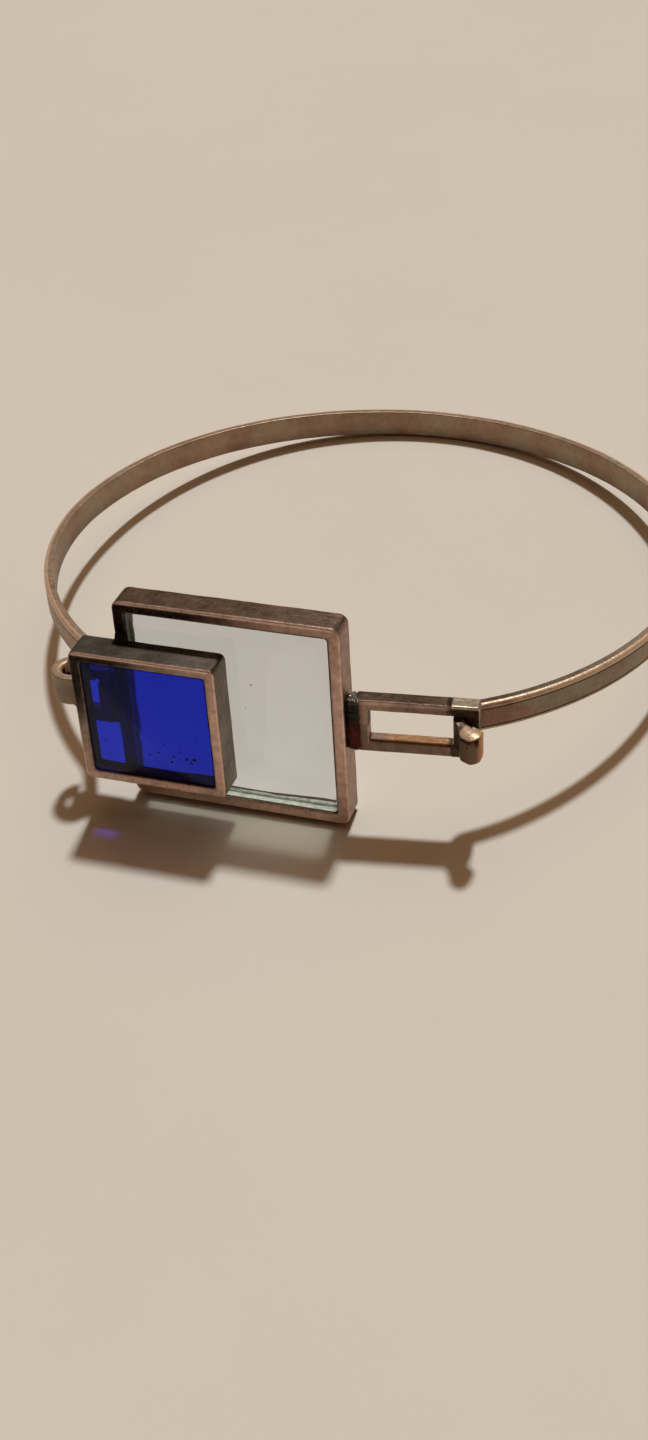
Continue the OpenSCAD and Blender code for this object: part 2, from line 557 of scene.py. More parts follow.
class ShaderEffects:
    """The effects that several finishes share, each a group of shader nodes."""

    def __init__(self) -> None:
        """Builds the groups."""
        self.patches = self._patches()
        self.rubbed_and_sheen = self._rubbed_and_sheen()
        self.scratches = self._scratches()

    def _patches(self) -> bpy.types.NodeTree:
        """Soft-edged patches of a mask."""
        inputs = [("Vector", VECTOR), ("Scale", NUMBER, 1.0), ("Low", NUMBER, 0.4), ("High", NUMBER, 0.6)]
        w, given, end = new_group("SoftPatches", "ShaderNodeTree", inputs, ("Mask", NUMBER))
        cloud = w.cloud(given["Vector"], given["Scale"], 5.0, 0.62)
        mask = w.ramp(cloud, given["Low"], given["High"], interpolation_type="SMOOTHSTEP")
        return w.finish(end, mask)

    def _rubbed_and_sheen(self) -> bpy.types.NodeTree:
        """Where handling has rubbed the tarnish off, and where painted highlights and reflections lie: edges,
        and faces that the paint marks.
        """
        inputs = [
            ("Vector", VECTOR), ("Scale", NUMBER, 1.5), ("Edge", NUMBER), ("Worn", NUMBER),
            ("Reach", NUMBER, 0.8),
        ]
        w, given, end = new_group("RubbedEdgesAndSheen", "ShaderNodeTree", inputs, ("Mask", NUMBER))
        broken = w.ramp(w.cloud(given["Vector"], given["Scale"], 6.0, 0.7), 0.3, 0.65)
        edge = w.math("MULTIPLY", given["Edge"], given["Reach"])
        edge = w.math("MULTIPLY", edge, w.between(broken, 0.35, 1.0))
        face = w.math("MULTIPLY", given["Worn"], w.between(broken, 0.45, 1.0))
        return w.finish(end, w.math("ADD", edge, face))

    def _scratches(self) -> bpy.types.NodeTree:
        """Fine hairline scratches in two directions."""
        inputs = [("Vector", VECTOR), ("Scale", NUMBER, 1.0), ("Sharpness", NUMBER, 0.5)]
        w, given, end = new_group("HairScratches", "ShaderNodeTree", inputs, ("Mask", NUMBER))
        lines = []
        for turn, stretch in ((0.35, (0.6, 9.0, 9.0)), (1.9, (8.0, 0.5, 7.0))):
            feeds = {"Vector": given["Vector"], "Rotation": (turn, 0.4 * turn, turn), "Scale": stretch}
            turned = w.add("ShaderNodeMapping", feeds).outputs[0]
            lines.append(w.ramp(w.cloud(turned, given["Scale"], 2.0), 0.6, 0.72))
        return w.finish(end, w.math("MULTIPLY", w.math("MAXIMUM", *lines), given["Sharpness"]))


EFFECTS = ShaderEffects()


def start_material(name: str) -> tuple[bpy.types.Material, Wiring, bpy.types.NodeSocket, bpy.types.Node]:
    """Starts a node material.

    Returns:
        The material, its wiring, its Object coordinates in millimetres and its output node.
    """
    material = bpy.data.materials.new(name)
    material.use_nodes = True
    material.node_tree.nodes.clear()
    w = Wiring(material.node_tree)
    output = w.add("ShaderNodeOutputMaterial")
    coordinates = w.add("ShaderNodeTexCoord").outputs["Object"]
    scaled = w.add("ShaderNodeVectorMath", {0: coordinates, "Scale": 1 / MM}, operation="SCALE")
    return material, w, scaled.outputs[0], output


@dataclass(frozen=True)
class TarnishedMetal:
    """A silver finish with tarnish, patina, rubbed edges and hairline scratches; its paint layers also lay
    painted highlights, reflections and shade.
    """

    name: str
    dark: Colour
    mid: Colour
    patina: Colour
    # Laid on wear and on painted highlights and reflections.
    worn: Colour
    warm: Colour = srgb(206, 152, 104)
    # Near black, laid on grime and on painted shade.
    grime: Colour = srgb(20, 17, 14)
    patina_share: float = 0.5
    patch_scale: float = 0.35
    reach: float = 0.9
    dull: float = 0.4
    bright: float = 0.32
    worn_metallic: float = 0.65
    bump: float = 0.05

    def build(self) -> bpy.types.Material:
        """Builds the material and returns it."""
        material, w, place, output = start_material(self.name)
        paint = {
            name: w.add("ShaderNodeAttribute", attribute_name=name).outputs["Fac"] for name in PAINTS
        }
        broad = w.group(EFFECTS.patches, Vector=place, Scale=self.patch_scale, Low=0.38, High=0.66)
        fine = w.group(EFFECTS.patches, Vector=place, Scale=2.6, Low=0.35, High=0.7)
        moved = w.add("ShaderNodeVectorMath", {0: place, 1: (7.0, 3.0, 11.0)}, operation="ADD").outputs[0]
        cloud = w.group(EFFECTS.patches, Vector=moved, Scale=self.patch_scale * 1.4, Low=0.45, High=0.65)
        # Rubbed places: real wear on edges and faces, plus the painted highlights and reflections that the
        # paint marks.
        rubbed_and_sheen = w.group(
            EFFECTS.rubbed_and_sheen, Vector=place, Scale=1.4, Edge=paint["edge"], Worn=paint["worn"], Reach=self.reach
        )
        hairs = w.group(EFFECTS.scratches, Vector=place, Scale=1.1, Sharpness=0.55)
        # Darkening from grime and from painted shade.
        darkening = w.math("MULTIPLY", paint["grime"], w.between(fine, 1.0, 0.75))
        colour = w.blend(broad, self.dark, self.mid)
        for share, layer in (
            (w.math("MULTIPLY", fine, 0.35), self.dark),
            (w.math("MULTIPLY", cloud, self.patina_share), self.patina),
            (rubbed_and_sheen, self.worn),
            (w.math("MULTIPLY", hairs, 0.35), self.worn),
            (w.math("MULTIPLY", paint["warm"], w.between(fine, 1.0, 0.6)), self.warm),
            (darkening, self.grime),
        ):
            colour = w.blend(share, colour, layer)
        rough = w.between(rubbed_and_sheen, self.dull, self.bright)
        rough = w.math("ADD", rough, w.math("MULTIPLY", fine, 0.1))
        rough = w.math("ADD", rough, w.math("MULTIPLY", darkening, 0.3))
        grain = w.math("MULTIPLY", w.cloud(place, 9.0, 4.0), 0.5)
        raised = w.math("ADD", grain, w.math("MULTIPLY", fine, 0.25))
        height = w.math("SUBTRACT", raised, w.math("MULTIPLY", hairs, 0.3))
        surface = w.add("ShaderNodeBsdfPrincipled", {
            "Base Color": colour, "Metallic": w.between(rubbed_and_sheen, 1.0, self.worn_metallic),
            "Roughness": rough, "Normal": w.bump(height, self.bump),
        })
        w.finish(output, surface.outputs[0])
        return material


@dataclass(frozen=True)
class Glass:
    """Old hand-cut glass: its tint, what its shadow lets through, a slightly wavy face and fine scratches."""

    name: str
    tint: Colour
    shadow: Colour
    gloss: Colour = (1.0, 1.0, 1.0, 1.0)
    wave: float = 0.006

    def build(self) -> bpy.types.Material:
        """Builds the material and returns it."""
        material, w, place, output = start_material(self.name)
        hairs = w.group(EFFECTS.scratches, Vector=place, Scale=0.45, Sharpness=1.0)
        film = w.group(EFFECTS.patches, Vector=place, Scale=0.5, Low=0.5, High=0.8)
        tint = w.blend(w.math("MULTIPLY", film, 0.04), self.tint, srgb(120, 118, 110))
        rough = w.math("ADD", w.math("MULTIPLY", hairs, 0.05), w.math("MULTIPLY", film, 0.03))
        height = w.math("SUBTRACT", w.cloud(place, 0.4, 1.0), w.math("MULTIPLY", hairs, 0.02))
        surface = w.add("ShaderNodeBsdfPrincipled", {
            "Base Color": tint, "Roughness": rough, "Transmission Weight": 1.0, "IOR": 1.5,
            "Specular IOR Level": 0.3, "Specular Tint": self.gloss, "Normal": w.bump(height, self.wave),
        })
        clear = w.add("ShaderNodeBsdfTransparent", {"Color": self.shadow})
        ray = w.add("ShaderNodeLightPath").outputs["Is Shadow Ray"]
        both = w.add("ShaderNodeMixShader", {0: ray, 1: surface.outputs[0], 2: clear.outputs[0]})
        w.finish(output, both.outputs[0])
        return material


@dataclass(frozen=True)
class Crust:
    """A matt crust: cement, pits, specks, and the dark bed that is painted shade."""

    name: str
    low: Colour
    high: Colour

    def build(self) -> bpy.types.Material:
        """Builds the material and returns it."""
        material, w, place, output = start_material(self.name)
        patch = w.group(EFFECTS.patches, Vector=place, Scale=2.0, Low=0.35, High=0.65)
        surface = w.add("ShaderNodeBsdfPrincipled", {
            "Base Color": w.blend(patch, self.low, self.high), "Roughness": w.between(patch, 0.75, 0.95),
            "Normal": w.bump(w.cloud(place, 7.0, 4.0), 0.05),
        })
        w.finish(output, surface.outputs[0])
        return material


class Finish(Enum):
    """The finishes of the bracelet."""

    FRAME = TarnishedMetal(
        "FrameSilver", dark=srgb(98, 74, 54), mid=srgb(134, 102, 80), patina=srgb(124, 98, 92),
        worn=srgb(240, 202, 184), patina_share=0.4,
    )
    SMALL_FRAME = TarnishedMetal(
        "SmallFrameSilver", dark=srgb(94, 84, 68), mid=srgb(130, 118, 104), patina=srgb(112, 112, 106),
        worn=srgb(242, 200, 180), patina_share=0.45,
    )
    LINK = TarnishedMetal(
        "LinkSilver", dark=srgb(92, 68, 50), mid=srgb(132, 104, 84), patina=srgb(138, 112, 104),
        worn=srgb(230, 200, 180), patina_share=0.4, patch_scale=0.9,
    )
    LINK_END = TarnishedMetal(
        "LinkEndSilver", dark=srgb(158, 132, 104), mid=srgb(190, 164, 134), patina=srgb(176, 150, 122),
        worn=srgb(250, 236, 212), patina_share=0.3, bright=0.3, bump=0.02,
    )
    BAND = TarnishedMetal(
        "BandSilver", dark=srgb(122, 92, 78), mid=srgb(156, 126, 106), patina=srgb(130, 134, 114),
        worn=srgb(226, 192, 160), patina_share=0.7, patch_scale=0.16, dull=0.38, worn_metallic=0.4, bump=0.04,
    )
    SOLDER = TarnishedMetal(
        "DarkSolder", dark=srgb(34, 36, 32), mid=srgb(56, 62, 56), patina=srgb(30, 46, 44),
        worn=srgb(206, 190, 168), warm=srgb(112, 48, 40), patina_share=0.6, patch_scale=1.1, reach=0.6,
        dull=0.5, bright=0.25, bump=0.12,
    )
    CLEAR = Glass("ClearPaneGlass", tint=srgb(228, 236, 241), shadow=srgb(194, 194, 186))
    BLUE = Glass(
        "CobaltGlass", tint=srgb(30, 50, 222), shadow=srgb(140, 118, 210), gloss=(0.2, 0.22, 0.45, 1.0)
    )
    CEMENT = Crust("PaneCement", srgb(168, 172, 154), srgb(214, 214, 198))
    PALE_BED = Crust("PaleBed", srgb(188, 192, 176), srgb(226, 226, 212))
    # Painted shade: dark sides for the cobalt pane, standing for the shaded walls seen through it.
    PAINTED_SHADE_BED = Crust("PaintedShadeBed", srgb(10, 10, 26), srgb(26, 26, 52))
    PITS = Crust("GlassPits", srgb(14, 14, 34), srgb(30, 28, 60))
    GRAINS = TarnishedMetal(
        "SolderGrains", dark=srgb(190, 176, 156), mid=srgb(232, 222, 204), patina=srgb(200, 190, 170),
        worn=srgb(250, 244, 230), patina_share=0.2, dull=0.3, bright=0.15,
    )

    def material(self) -> bpy.types.Material:
        """Returns the finish's material, built the first time it is asked for."""
        return bpy.data.materials.get(self.value.name) or self.value.build()


def hand_over(piece: bpy.types.Object, finish: Finish, body: Body | None, slot: str, *nodes: str) -> None:
    """Dresses a piece, puts it on its body and names the nodes that it stands for.

    Args:
        piece: The finished mesh object.
        finish: Its finish.
        body: The body that it rides on, or None for a piece that is put on no body.
        slot: The record's material slot; not used.
        nodes: CAD nodes that it stands for.
    """
    if not piece.data.materials:
        piece.data.materials.append(finish.material())
    if body:
        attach(piece, body.value)
    if nodes:
        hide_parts(*nodes)
    stands_for = ", ".join(nodes) or "no node"
    faces = len(piece.data.polygons)
    LOG.info("%s: %d faces, %s, stands for %s", piece.name, faces, finish.value.name, stands_for)


# ---------------------------------------------------------------- geometry nodes


def run_nodes(
    name: str, source: bpy.types.Object, tree: bpy.types.NodeTree, inputs: dict[str, object]
) -> bpy.types.Object:
    """Runs a geometry tree on an object and keeps the result as a plain mesh.

    Args:
        name: Name of the new piece.
        source: The object that the tree starts from; it is removed.
        tree: The geometry node tree.
        inputs: Values of the tree's inputs by name.

    Returns:
        The new mesh object.
    """
    modifier = source.modifiers.new("Nodes", "NODES")
    modifier.node_group = tree
    items = [item for item in tree.interface.items_tree if item.item_type == "SOCKET"]
    sockets = {item.name: item.identifier for item in items if item.in_out == "INPUT"}
    for label, value in inputs.items():
        modifier[sockets[label]] = value
    bpy.context.view_layer.update()
    depsgraph = bpy.context.evaluated_depsgraph_get()
    mesh = bpy.data.meshes.new_from_object(
        source.evaluated_get(depsgraph),
        preserve_all_data_layers=True,
        depsgraph=depsgraph,
    )
    source.modifiers.remove(modifier)
    bpy.data.objects.remove(source)
    mesh.name = name
    made = bpy.data.objects.new(name, mesh)
    bpy.context.scene.collection.objects.link(made)
    return made


def points_object(
    name: str, points: Sequence[Sequence[float]], edges: Sequence[tuple[int, int]], **values: Sequence[float]
) -> bpy.types.Object:
    """Makes a helper object of points and edges, with float values on its points."""
    mesh = bpy.data.meshes.new(name)
    mesh.from_pydata([tuple(p) for p in points], list(edges), [])
    for label, numbers in values.items():
        mesh.attributes.new(label, "FLOAT", "POINT").data.foreach_set("value", list(numbers))
    made = bpy.data.objects.new(name, mesh)
    bpy.context.scene.collection.objects.link(made)
    return made


def strip_tree() -> bpy.types.NodeTree:
    """Builds the tree that draws a strip of any section along a flat path."""
    inputs = [("Path", GEOMETRY), ("Section", OBJECT), ("Finish", MATERIAL)]
    w, given, end = new_group("StripAlongPath", "GeometryNodeTree", inputs, ("Strip", GEOMETRY))
    path = w.add("GeometryNodeMeshToCurve", {0: given["Path"]})
    upright = w.add("GeometryNodeSetCurveNormal", {0: path.outputs[0]}, mode="Z_UP")
    section = w.add("GeometryNodeObjectInfo", {"Object": given["Section"]})
    outline = w.add("GeometryNodeMeshToCurve", {0: section.outputs["Geometry"]})
    feeds = {"Curve": upright.outputs[0], "Profile Curve": outline.outputs[0], "Fill Caps": True}
    swept = w.add("GeometryNodeCurveToMesh", feeds)
    smoothed = w.add("GeometryNodeSetShadeSmooth", {0: swept.outputs[0]})
    whole = w.add("GeometryNodeRealizeInstances", {0: smoothed.outputs[0]})
    dressed = w.add("GeometryNodeSetMaterial", {0: whole.outputs[0], "Material": given["Finish"]})
    return w.finish(end, dressed.outputs[0])


def grains_tree() -> bpy.types.NodeTree:
    """Builds the tree that puts a small uneven grain on every point of a mesh."""
    inputs = [
        ("Points", GEOMETRY), ("Radius", NUMBER, 0.0001), ("Flatness", NUMBER, 1.0),
        ("Seed", INTEGER, 1), ("Finish", MATERIAL),
    ]
    w, given, end = new_group("GrainsOnPoints", "GeometryNodeTree", inputs, ("Grains", GEOMETRY))
    ball = w.add("GeometryNodeMeshIcoSphere", {"Radius": given["Radius"], "Subdivisions": 2})
    feeds = {1: (6.28, 6.28, 6.28), "Seed": given["Seed"]}
    turn = w.add("FunctionNodeRandomValue", feeds, data_type="FLOAT_VECTOR")
    named = w.add("GeometryNodeInputNamedAttribute", {"Name": "size"}, data_type="FLOAT")
    size = named.outputs["Attribute"]
    thin = w.add("ShaderNodeMath", {0: size, 1: given["Flatness"]}, operation="MULTIPLY")
    scale = w.add("ShaderNodeCombineXYZ", {0: size, 1: thin.outputs[0], 2: size})
    feeds = {"Points": given["Points"], "Instance": ball.outputs[0], "Scale": scale.outputs[0]}
    placed = w.add("GeometryNodeInstanceOnPoints", feeds)
    full = w.add("FunctionNodeCompare", {0: given["Flatness"], 1: 0.99}, operation="GREATER_THAN")
    feeds = {0: placed.outputs[0], "Selection": full.outputs[0], "Rotation": turn.outputs[0]}
    turned = w.add("GeometryNodeRotateInstances", feeds)
    smoothed = w.add("GeometryNodeSetShadeSmooth", {0: turned.outputs[0]})
    whole = w.add("GeometryNodeRealizeInstances", {0: smoothed.outputs[0]})
    dressed = w.add("GeometryNodeSetMaterial", {0: whole.outputs[0], "Material": given["Finish"]})
    return w.finish(end, dressed.outputs[0])


# ---------------------------------------------------------------- sub-assemblies


def square_line(width: float, radius: float, centre: Point2, steps: int) -> list[Point2]:
    """Returns the outline of an upright square with rounded corners."""
    half = width / 2
    signs = ((-1, -1), (1, -1), (1, 1), (-1, 1))
    corners = [(centre[0] + half * sx, centre[1] + half * sz, radius) for sx, sz in signs]
    return bent_line(corners, True, steps)


@dataclass
class SetFrame:
    """A square frame of flat strip."""

    name: str
    width: float
    wall: float
    depth: float
    corner_r: float
    centre: Point2
    front: float
    finish: Finish
    edge_r: float = 0.18
    steps: int = 36

    def lines(self) -> tuple[list[Point2], list[Point2]]:
        """Returns the frame's inner and outer outlines."""
        inner = square_line(self.width - 2 * self.wall, SIZES.inner_corner_r, self.centre, self.steps)
        return inner, square_line(self.width, self.corner_r, self.centre, self.steps)

    def paint(self, side: Side, spot: Vector) -> Paint:
        """Gives a point its paint. The front is worn more towards the bottom right, darker next to the glass,
        darker at the top left as a painted reflection of the dark room, and has a painted highlight along its
        top edge. The inner faces and the tops get painted shade. The large frame's right side gets a painted
        floor reflection.
        """
        x, z = spot.x - self.centre[0], spot.z - self.centre[1]
        half = self.width / 2
        across = (x - z) / self.width
        if side is Side.FRONT:
            beside_glass = smooth(0.3, 0.0, max(abs(x), abs(z)) - half + self.wall)
            # A painted highlight along the front's top edge.
            rim = smooth(0.4, 0.15, half - z)
            # Worn more towards the bottom right; darker at the top left as a painted reflection of the dark
            # room.
            worn = 0.1 + 0.75 * smooth(-0.6, 0.5, across)
            grime = max(0.95 * smooth(-0.3, -0.7, across), 0.4 * beside_glass)
            return Paint(edge=0.7 * rim, worn=max(worn, 0.85 * rim), grime=grime * (1 - rim))
        # Painted shade on the inner faces round the glass.
        if side is Side.INNER:
            return Paint(worn=0.05, grime=0.6)
        if side is Side.BACK:
            return Paint(worn=0.3)
        plain = self.finish is Finish.FRAME
        # The tops are darkened as painted shade, more on the small frame and towards the left; the small
        # frame's mitre line at its top right is a dark joint.
        if z > abs(x):
            mitre = 0.0 if plain else 0.7 * smooth(0.5, 0.1, z - x)
            shade = (0.15 if plain else 0.35) + 0.2 * smooth(half, -0.4 * half, x)
            return Paint(worn=0.04 + 0.1 * smooth(0, half, x), grime=max(mitre, shade))
        # The large frame's right side is lightened as a painted reflection of the floor.
        return Paint(worn=0.3 if x > abs(z) and plain else 0.08)

    def build(self, body: Body, slot: str) -> None:
        """Bends the frame and hands it over."""
        section = wire_section(self.wall, self.depth, self.edge_r)
        made = bend_wire(f"{self.name}_strip", self.lines(), section, self.front, True, self.paint)
        hand_over(made, self.finish, body, slot, self.name)


@dataclass
class Panes:
    """The clear pane with its cement, and the cobalt pane with its pits."""

    pit_spots: tuple[Point3, ...] = (
        (-3.4, -3.3, 1.3), (-3.0, -3.6, 1.1), (-4.6, -3.2, 0.9), (-6.0, -3.0, 0.8),
        (-2.7, -3.25, 1.4), (-5.4, -2.1, 0.7), (-6.8, -3.4, 0.7), (-4.0, -2.6, 0.7),
        (-4.8, -3.8, 1.0), (-8.2, -2.0, 0.6), (-2.4, -1.2, 0.6), (-10.9, -2.6, 0.6),
    )
    speck_spots: tuple[Point3, ...] = (
        (1.9, 3.3, 0.7), (1.2, 0.9, 0.4), (3.8, -2.0, 0.3), (6.9, 5.4, 0.3), (5.0, -6.2, 0.4),
    )
    gap: float = 0.06
    speck_r: float = 0.13

    def build(self) -> None:
        """Builds both panes and what clings to them."""
        s = SIZES
        width = s.large_w - 2 * s.large_wall - 2 * self.gap
        line = square_line(width, s.inner_corner_r, (0, 0), 4)
        pane = slab("clear_pane_glass", line, s.pane_setback, s.pane_setback + s.large_pane_t, 0.06)
        self._bed(pane, Finish.CLEAR, Finish.PALE_BED)
        hand_over(pane, Finish.CLEAR, Body.CENTREPIECE, "clear_pane", "large_pane")
        width = s.small_w - 2 * s.small_wall - 2 * self.gap
        line = square_line(width, s.inner_corner_r, (s.small_x, s.small_z), 4)
        front = -s.small_depth + s.pane_setback
        pane = slab("cobalt_pane_glass", line, front, -s.pane_setback, 0.06)
        # The cobalt pane's sides are dark as painted shade of the walls behind the glass.
        self._bed(pane, Finish.BLUE, Finish.PAINTED_SHADE_BED)
        hand_over(pane, Finish.BLUE, Body.CENTREPIECE, "blue_pane", "small_pane")
        self._cement()
        self._specks("cobalt_pane_pits", Finish.PITS, self.pit_spots, front, 3)
        self._specks("clear_pane_specks", Finish.CEMENT, self.speck_spots, s.pane_setback, 5)

    @staticmethod
    def _bed(pane: bpy.types.Object, glass: Finish, bed: Finish) -> None:
        """Gives a pane its glass and the finish of its bedded sides."""
        for finish in (glass, bed):
            pane.data.materials.append(finish.material())

    def _cement(self) -> None:
        """Lays the uneven bead of cement behind the clear pane."""
        s = SIZES
        width = s.large_w - 2 * s.large_wall
        inner = square_line(width - 2 * s.cement_h, 0.15, (0, 0), 60)
        outer = square_line(width, s.inner_corner_r, (0, 0), 60)
        section = wire_section(s.cement_h, s.cement_h, 0.12)
        made = bend_wire(
            "pane_cement_bead", (inner, outer), section, s.pane_setback + s.large_pane_t, True,
            lambda side, spot: Paint(), wobble=0.12,
        )
        hand_over(made, Finish.CEMENT, Body.CENTREPIECE, "cement", "pane_cement")

    def _specks(self, name: str, finish: Finish, spots: Sequence[Point3], y: float, seed: int) -> None:
        """Puts flat specks on a pane's front, each spot an (x, z, size)."""
        places = [REST.place((x, y, z)) for x, z, _ in spots]
        source = points_object(f"{name}_spots", places, [], size=[size for *_, size in spots])
        inputs = {"Radius": self.speck_r * MM, "Flatness": 0.25, "Seed": seed, "Finish": finish.material()}
        made = run_nodes(name, source, grains_tree(), inputs)
        hand_over(made, finish, Body.CENTREPIECE, "cement")


@dataclass
class WireLoops:
    """The link and its end piece on the right, the staple on the left, and their solder."""

    edge_r: float = 0.12
    steps: int = 14
    corner_r: float = 0.18
    slot_r: float = 0.12
    grain_r: float = 0.1

    def section(self) -> list[SkinPoint]:
        """Returns the flat wire's cross-section."""
        return wire_section(SIZES.wire_t, SIZES.wire_d, self.edge_r)

    def at_link(self) -> Matrix:
        """Returns the place of the link's root on the centrepiece."""
        s = SIZES
        place = Matrix.Translation((s.large_w / 2 + s.solder_t, s.large_depth / 2, s.loop_z))
        return place @ Matrix.Rotation(math.radians(s.link_yaw), 4, "Z")

    def open_lines(self, near: float, far: float) -> tuple[list[Point2], list[Point2]]:
        """Returns the lines of a U whose root stands at near and whose legs end at far."""
        t, half = SIZES.wire_t, SIZES.loop_h / 2
        step_in = math.copysign(t, far - near)
        inner = [
            (far, half - t, 0), (near + step_in, half - t, self.slot_r),
            (near + step_in, t - half, self.slot_r), (far, t - half, 0),
        ]
        outer = [(far, half, 0), (near, half, self.corner_r), (near, -half, self.corner_r), (far, -half, 0)]
        return bent_line(inner, False, self.steps), bent_line(outer, False, self.steps)

    def paint_link(self, side: Side, spot: Vector) -> Paint:
        """Rubbed along the front and dark at the root. Painted shade under and on top of the upper rail and
        towards the right end of its front. A painted sunlit gold on the lower rail's upper face, and a
        painted highlight along the front's top edge.
        """
        root = smooth(0.7, 0.1, spot.x)
        if side is Side.INNER:
            low = spot.z < 0
            # The lower rail's upper face gets a painted sunlit gold; the upper rail's underside gets painted
            # shade.
            sunlit_gold = smooth(1.2, 3.4, spot.x) if low else 0.0
            return Paint(worn=0.35 if low else 0.15, grime=0.3 * root if low else 0.6, warm=0.9 * sunlit_gold)
        worn = {Side.FRONT: 0.35, Side.OUTER: 0.02, Side.BACK: 0.2}[side]
        # Painted shade on the upper rail's top face and towards the right end of its front; the lower rail's
        # front is darkened too.
        above = 0.4 if side is Side.OUTER and spot.z > 0 else 0.0
        if side is Side.FRONT:
            above = 0.3 * smooth(2.0, 4.5, spot.x) if spot.z > 0 else 0.35
        # A painted highlight along the front's top edge.
        edge = 0.5 if side is Side.FRONT and spot.z > 2.2 else 0
        return Paint(worn=worn * (1 - root), grime=max(0.5 * root, above), edge=edge)

    def paint_end(self, side: Side, spot: Vector) -> Paint:
        """Lighter than the link. Painted shade under the upper rail and on the front below its top edge. A
        painted highlight along the front's top edge, and a painted sunlit warm tint on the lower rail's upper
        face.
        """
        if side is Side.INNER:
            # Painted shade under the upper rail; a painted sunlit warm tint on the lower rail's upper face.
            return Paint(worn=0.1, grime=0.75 if spot.z > 0 else 0.4, warm=0.4 if spot.z < 0 else 0.0)
        near_seam = smooth(0.2, 0.0, spot.x - (SIZES.link_len - SIZES.link_end_len))
        # The front: a painted highlight along its top edge and painted shade below it.
        if side is Side.FRONT:
            below = smooth(0.1, 0.35, SIZES.loop_h / 2 - spot.z)
            return Paint(edge=0.8 * (1 - below), grime=0.85 * below)
        low = smooth(1.8, 0.6, spot.z)
        return Paint(worn=0.35 * (1 - near_seam) * (1 - low), grime=max(0.6 * near_seam, 0.55 * low))

    def paint_staple(self, side: Side, spot: Vector) -> Paint:
        """Dull all over, darker inside the slot."""
        return Paint(worn=0.25 if side is Side.FRONT else 0.1, grime=0.45 if side is Side.INNER else 0.1)

    def paint_solder(self, side: Side, spot: Vector) -> Paint:
        """Green-black above, red-brown below, with a few bright spots at the top."""
        low = smooth(0.9, -0.6, spot.z - SIZES.loop_z)
        return Paint(worn=0.35 * smooth(1.9, 2.5, spot.z - SIZES.loop_z), warm=0.85 * low, grime=0.1)

    def build(self) -> None:
        """Builds the loops, their solder and its grains."""
        s = SIZES
        seam, half_gap = s.link_len - s.link_end_len, 0.015
        for name, lines, painter, finish, slot, node in (
            ("link_wire", self.open_lines(0, seam - half_gap), self.paint_link,
             Finish.LINK, "link_metal", "link"),
            ("link_end_wire", self.open_lines(s.link_len, seam + half_gap), self.paint_end,
             Finish.LINK_END, "link_end_metal", "link_end"),
        ):
            wire = bend_wire(name, lines, self.section(), -s.wire_d / 2, False, painter, self.at_link())
            hand_over(wire, finish, Body.CENTREPIECE, slot, node)
        self._staple()
        self._solders()

    def _staple(self) -> None:
        """Bends the staple, a closed loop whose outer bar is the hinge's pin."""
        s = SIZES
        t, half = s.wire_t, s.loop_h / 2
        root, tip, bend = -s.large_w / 2 - s.solder_t, s.pin_x - s.wire_t / 2, s.staple_corner_r
        outer = [(root, -half, 0.1), (root, half, 0.1), (tip, half, bend), (tip, -half, bend)]
        inner = [
            (root - t, t - half, 0.1), (root - t, half - t, 0.1),
            (tip + t, half - t, 0.15), (tip + t, t - half, 0.15),
        ]
        place = Matrix.Translation((0, 0, s.loop_z))
        lines = (bent_line(inner, True, self.steps), bent_line(outer, True, self.steps))
        front = (s.large_depth - s.wire_d) / 2
        staple = bend_wire(
            "staple_wire", lines, self.section(), front, True, self.paint_staple, place, wobble=0.015
        )
        hand_over(staple, Finish.LINK, Body.CENTREPIECE, "link_metal", "staple")

    def _solders(self) -> None:
        """Lays the solder blocks, the fillets between the frames and the bright grains."""
        s = SIZES
        x, half, y = s.large_w / 2, s.loop_h / 2, s.large_depth / 2
        deep = s.wire_d / 2
        for name, low, high, bulge, seed, node in (
            ("link_solder_lump", (x - 0.03, y - deep - 0.06, s.loop_z - half),
             (x + s.solder_t + 0.42, y + deep, s.loop_z + half - 0.1), 0.14, 3.1, "link_solder"),
            ("staple_solder_lump", (-x - s.solder_t - 0.05, y - deep, s.loop_z - half),
             (-x + 0.03, y + deep, s.loop_z + half), 0.12, 8.4, "staple_solder"),
        ):
            block = lump(name, low, high, bulge, self.paint_solder, seed)
            hand_over(block, Finish.SOLDER, Body.CENTREPIECE, "solder", node)
        self._fillets()
        self._grains(x, y, s.loop_z + half)

    def _grains(self, x: float, y: float, top: float) -> None:
        """Scatters bright grains over the link's solder, which starts at x, y and ends at top."""
        deep = SIZES.wire_d / 2
        spots = [
            (x + 0.22 + 0.14 * k, y - deep * (0.95 - 0.1 * (k % 3)), top + 0.02 - 0.3 * ((k * 7) % 5) / 4)
            for k in range(7)
        ]
        spots += [(x + 0.3 + 0.17 * k, y - deep * 0.5 + 0.3 * (k % 2), top + 0.03) for k in range(3)]
        sizes = [0.7 + 0.6 * ((k * 5) % 4) / 3 for k in range(len(spots))]
        places = [REST.place(spot) for spot in spots]
        source = points_object("solder_grain_spots", places, [], size=sizes)
        inputs = {"Radius": self.grain_r * MM, "Flatness": 1.0, "Seed": 7, "Finish": Finish.GRAINS.material()}
        grains = run_nodes("solder_grains", source, grains_tree(), inputs)
        hand_over(grains, Finish.GRAINS, Body.CENTREPIECE, "solder")

